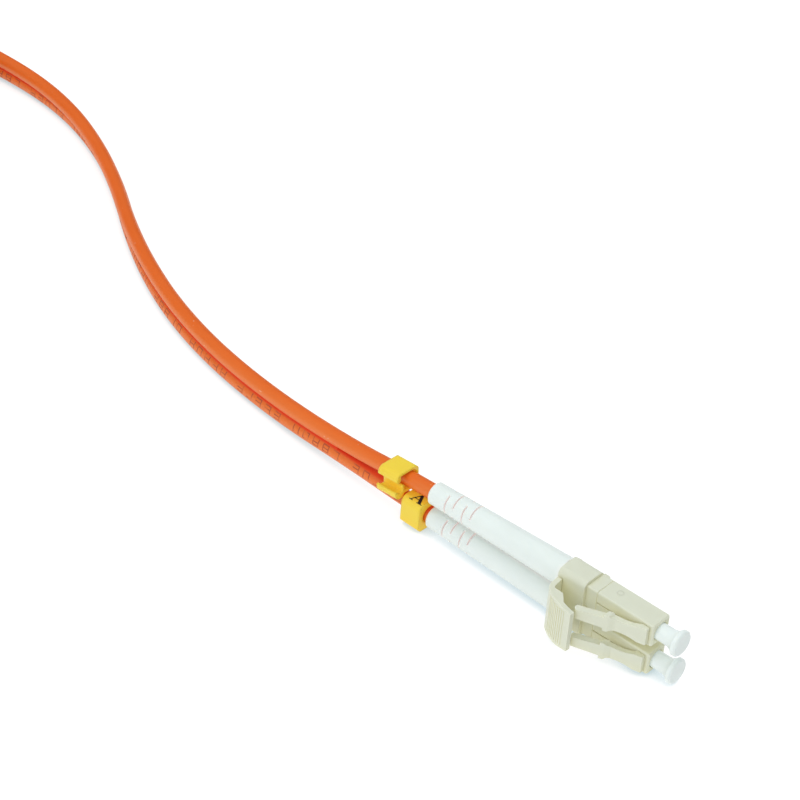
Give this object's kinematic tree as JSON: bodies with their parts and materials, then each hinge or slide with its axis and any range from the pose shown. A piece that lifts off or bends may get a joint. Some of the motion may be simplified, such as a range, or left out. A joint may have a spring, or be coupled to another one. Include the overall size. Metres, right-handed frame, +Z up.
{
  "type": "duplex fibre optic patch cord",
  "caption": "Duplex fibre patch cord with latched plug pairs in sprung clips, dust caps, slotted boots, cord markers and a twin orange cord.",
  "frame": {"origin": "on the table, under the middle of the near plug pair's box (caps to boot ends)", "axes": "+X the way the plugs push in, +Z up, latches and trigger on the -Y side"},
  "size_m": [0.2791, 0.0786, 0.0142],
  "materials": {
    "plug_beige": "fine satin moulded plastic",
    "boot_white": "soft white moulded elastomer",
    "cap_white": "smooth, slightly translucent plastic",
    "jacket_orange": "smooth extruded jacket",
    "marker_yellow": "moulded plastic",
    "ceramic_white": "polished ceramic",
    "nickel": "plated metal",
    "spring_steel": "drawn wire",
    "crimp_metal": "drawn tube",
    "fibre_white": "smooth buffer coating",
    "tie_black": "hook and loop strap"
  },
  "bodies": {
    "patch_cord": {"housing_upper": "plug_beige", "housing_lower": "plug_beige", "ferrule_spring_upper": "spring_steel", "ferrule_spring_lower": "spring_steel", "rear_body_upper": "plug_beige", "rear_body_lower": "plug_beige", "crimp_sleeve_upper": "crimp_metal", "crimp_sleeve_lower": "crimp_metal", "boot_upper": "boot_white", "boot_lower": "boot_white", "duplex_clip": "plug_beige", "marker_upper": "marker_yellow", "marker_lower": "marker_yellow", "cord_upper": "jacket_orange", "cord_lower": "jacket_orange", "far_housing_upper": "plug_beige", "far_housing_lower": "plug_beige", "far_ferrule_spring_upper": "spring_steel", "far_ferrule_spring_lower": "spring_steel", "far_rear_body_upper": "plug_beige", "far_rear_body_lower": "plug_beige", "far_crimp_sleeve_upper": "crimp_metal", "far_crimp_sleeve_lower": "crimp_metal", "far_boot_upper": "boot_white", "far_boot_lower": "boot_white", "far_duplex_clip": "plug_beige", "far_marker_upper": "marker_yellow", "far_marker_lower": "marker_yellow", "far_cord_upper": "jacket_orange", "far_cord_lower": "jacket_orange", "cord_coil": "jacket_orange", "coil_tie": "tie_black"},
    "trigger": {"trigger": "plug_beige"},
    "latch_upper": {"latch_upper": "plug_beige"},
    "dust_cap_upper": {"dust_cap_upper": "cap_white"},
    "ferrule_upper": {"ferrule_upper": "ceramic_white", "ferrule_flange_upper": "nickel", "fibre_upper": "fibre_white"},
    "latch_lower": {"latch_lower": "plug_beige"},
    "dust_cap_lower": {"dust_cap_lower": "cap_white"},
    "ferrule_lower": {"ferrule_lower": "ceramic_white", "ferrule_flange_lower": "nickel", "fibre_lower": "fibre_white"},
    "far_trigger": {"far_trigger": "plug_beige"},
    "far_latch_upper": {"far_latch_upper": "plug_beige"},
    "far_dust_cap_upper": {"far_dust_cap_upper": "cap_white"},
    "far_ferrule_upper": {"far_ferrule_upper": "ceramic_white", "far_ferrule_flange_upper": "nickel", "far_fibre_upper": "fibre_white"},
    "far_latch_lower": {"far_latch_lower": "plug_beige"},
    "far_dust_cap_lower": {"far_dust_cap_lower": "cap_white"},
    "far_ferrule_lower": {"far_ferrule_lower": "ceramic_white", "far_ferrule_flange_lower": "nickel", "far_fibre_lower": "fibre_white"}
  },
  "joints": [
    {"name": "trigger_press", "type": "hinge", "parent": "patch_cord", "child": "trigger", "pos_m": [0.00351, -0.00015, 0.006], "axis": [0, 0, 1], "range_deg": [0, 18], "stiffness_Nm_per_rad": 0.004},
    {"name": "latch_upper_press", "type": "hinge", "parent": "patch_cord", "child": "latch_upper", "pos_m": [0.02081, 0.00066, 0.00912], "axis": [0, 0, -1], "range_deg": [0, 9]},
    {"name": "dust_cap_upper_pull", "type": "slide", "parent": "patch_cord", "child": "dust_cap_upper", "axis": [1, 0, 0], "range_m": [0, 0.008]},
    {"name": "ferrule_upper_float", "type": "slide", "parent": "patch_cord", "child": "ferrule_upper", "axis": [-1, 0, 0], "range_m": [0, 0.0006], "stiffness_N_per_m": 1500, "deforming": ["ferrule_spring_upper"]},
    {"name": "latch_lower_press", "type": "hinge", "parent": "patch_cord", "child": "latch_lower", "pos_m": [0.02081, 0.00066, 0.00287], "axis": [0, 0, -1], "range_deg": [0, 9]},
    {"name": "dust_cap_lower_pull", "type": "slide", "parent": "patch_cord", "child": "dust_cap_lower", "axis": [1, 0, 0], "range_m": [0, 0.008]},
    {"name": "ferrule_lower_float", "type": "slide", "parent": "patch_cord", "child": "ferrule_lower", "axis": [-1, 0, 0], "range_m": [0, 0.0006], "stiffness_N_per_m": 1500, "deforming": ["ferrule_spring_lower"]},
    {"name": "far_trigger_press", "type": "hinge", "parent": "patch_cord", "child": "far_trigger", "pos_m": [-0.15189, -0.02315, 0.006], "axis": [0, 0, 1], "range_deg": [0, 18], "stiffness_Nm_per_rad": 0.004},
    {"name": "far_latch_upper_press", "type": "hinge", "parent": "patch_cord", "child": "far_latch_upper", "pos_m": [-0.13459, -0.02234, 0.00912], "axis": [0, 0, -1], "range_deg": [0, 9]},
    {"name": "far_dust_cap_upper_pull", "type": "slide", "parent": "patch_cord", "child": "far_dust_cap_upper", "axis": [1, 0, 0], "range_m": [0, 0.008]},
    {"name": "far_ferrule_upper_float", "type": "slide", "parent": "patch_cord", "child": "far_ferrule_upper", "axis": [-1, 0, 0], "range_m": [0, 0.0006], "stiffness_N_per_m": 1500, "deforming": ["far_ferrule_spring_upper"]},
    {"name": "far_latch_lower_press", "type": "hinge", "parent": "patch_cord", "child": "far_latch_lower", "pos_m": [-0.13459, -0.02234, 0.00287], "axis": [0, 0, -1], "range_deg": [0, 9]},
    {"name": "far_dust_cap_lower_pull", "type": "slide", "parent": "patch_cord", "child": "far_dust_cap_lower", "axis": [1, 0, 0], "range_m": [0, 0.008]},
    {"name": "far_ferrule_lower_float", "type": "slide", "parent": "patch_cord", "child": "far_ferrule_lower", "axis": [-1, 0, 0], "range_m": [0, 0.0006], "stiffness_N_per_m": 1500, "deforming": ["far_ferrule_spring_lower"]}
  ],
  "couplings": [
    {"joint": "latch_upper_press", "follows": "trigger_press", "ratio": 0.5},
    {"joint": "latch_lower_press", "follows": "trigger_press", "ratio": 0.5},
    {"joint": "far_latch_upper_press", "follows": "far_trigger_press", "ratio": 0.5},
    {"joint": "far_latch_lower_press", "follows": "far_trigger_press", "ratio": 0.5}
  ]
}
